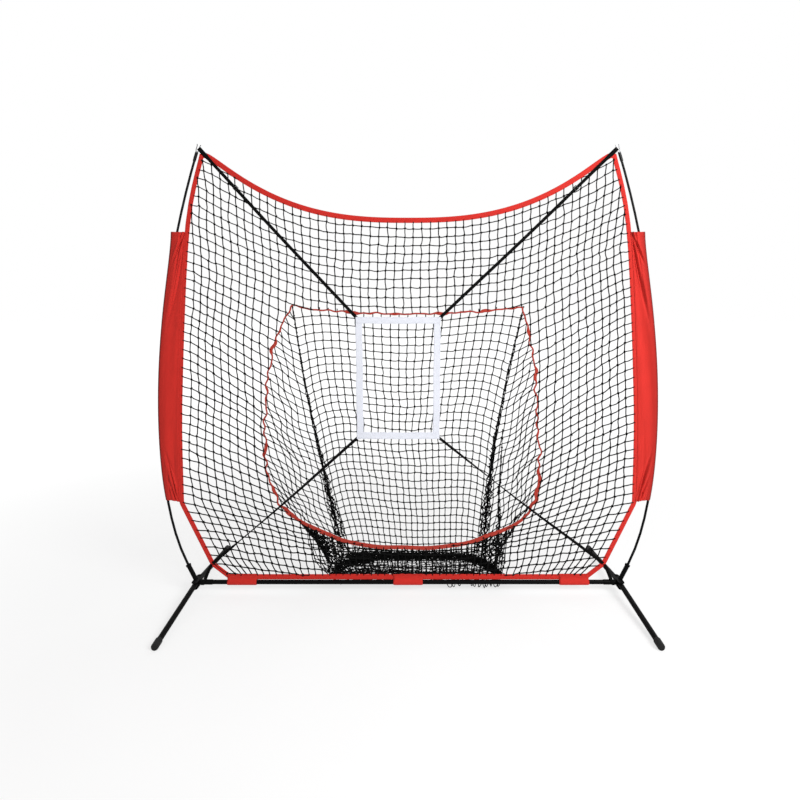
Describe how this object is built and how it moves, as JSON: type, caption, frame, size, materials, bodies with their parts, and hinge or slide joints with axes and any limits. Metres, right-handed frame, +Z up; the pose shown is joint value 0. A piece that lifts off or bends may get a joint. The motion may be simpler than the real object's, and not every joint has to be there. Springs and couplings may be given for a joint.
{
  "type": "pitching target net",
  "caption": "Free-standing square practice net held by two bowed poles on a folding steel base, with a catching pocket and a webbing strike zone.",
  "frame": {"origin": "on the ground, at the middle of the space between the four feet", "axes": "+X to the thrower's right along the base bar, +Y away from the thrower to the pocket, +Z up"},
  "size_m": [2.5436, 0.9984, 2.2791],
  "materials": {
    "painted_steel": "black satin powder coat",
    "bare_steel": "zinc plated",
    "fibreglass": "black smooth fibreglass",
    "rubber": "matt moulded",
    "red_fabric": "coated polyester, fine plain weave",
    "dark_red_fabric": "folded binding tape",
    "black_webbing": "woven strap",
    "white_webbing": "woven strap",
    "netting": "knotted polyester twine",
    "slide_plastic": "moulded"
  },
  "bodies": {
    "frame_and_net": {"left_hub": "painted_steel", "right_hub": "painted_steel", "left_base_bar": "painted_steel", "right_base_bar": "painted_steel", "base_bar_joint_tube": "bare_steel", "left_front_leg_rivet": "bare_steel", "right_front_leg_rivet": "bare_steel", "left_rear_leg_rivet": "bare_steel", "right_rear_leg_rivet": "bare_steel", "left_lower_pole": "fibreglass", "right_lower_pole": "fibreglass", "left_upper_pole": "fibreglass", "right_upper_pole": "fibreglass", "left_pole_ferrule": "bare_steel", "right_pole_ferrule": "bare_steel", "left_pole_tip": "bare_steel", "right_pole_tip": "bare_steel", "left_pole_sleeve": "red_fabric", "right_pole_sleeve": "red_fabric", "left_binding": "red_fabric", "right_binding": "red_fabric", "top_binding": "red_fabric", "bottom_binding": "red_fabric", "left_bar_tab": "red_fabric", "right_bar_tab": "red_fabric", "middle_bar_tab": "red_fabric", "left_corner_tie": "black_webbing", "right_corner_tie": "black_webbing", "strike_zone": "white_webbing", "left_upper_strap": "black_webbing", "right_upper_strap": "black_webbing", "left_lower_strap": "black_webbing", "right_lower_strap": "black_webbing", "net_top": "netting", "net_bottom": "netting", "net_left": "netting", "net_right": "netting", "mouth_trim": "dark_red_fabric", "pocket_back": "netting", "pocket_floor": "netting", "pocket_left": "netting", "pocket_right": "netting"},
    "left_front_leg": {"left_front_leg": "painted_steel", "left_front_foot_cap": "rubber"},
    "left_rear_leg": {"left_rear_leg": "painted_steel", "left_rear_foot_cap": "rubber"},
    "left_strap_slider": {"left_strap_slider": "slide_plastic"},
    "right_front_leg": {"right_front_leg": "painted_steel", "right_front_foot_cap": "rubber"},
    "right_rear_leg": {"right_rear_leg": "painted_steel", "right_rear_foot_cap": "rubber"},
    "right_strap_slider": {"right_strap_slider": "slide_plastic"}
  },
  "joints": [
    {"name": "left_front_leg_fold", "type": "hinge", "parent": "frame_and_net", "child": "left_front_leg", "pos_m": [-1.072, -0.035, 0.051], "axis": [0, 0, 1], "range_deg": [0, 90]},
    {"name": "left_rear_leg_fold", "type": "hinge", "parent": "frame_and_net", "child": "left_rear_leg", "pos_m": [-1.072, 0.035, 0.051], "axis": [0, 0, -1], "range_deg": [0, 90]},
    {"name": "left_strap_slider_slide", "type": "slide", "parent": "frame_and_net", "child": "left_strap_slider", "axis": [0.6818, 0, -0.7315], "range_m": [-0.08, 0.4]},
    {"name": "right_front_leg_fold", "type": "hinge", "parent": "frame_and_net", "child": "right_front_leg", "pos_m": [1.072, -0.035, 0.051], "axis": [0, 0, -1], "range_deg": [0, 90]},
    {"name": "right_rear_leg_fold", "type": "hinge", "parent": "frame_and_net", "child": "right_rear_leg", "pos_m": [1.072, 0.035, 0.051], "axis": [0, 0, 1], "range_deg": [0, 90]},
    {"name": "right_strap_slider_slide", "type": "slide", "parent": "frame_and_net", "child": "right_strap_slider", "axis": [-0.7231, 0, -0.6908], "range_m": [-0.08, 0.4]}
  ]
}
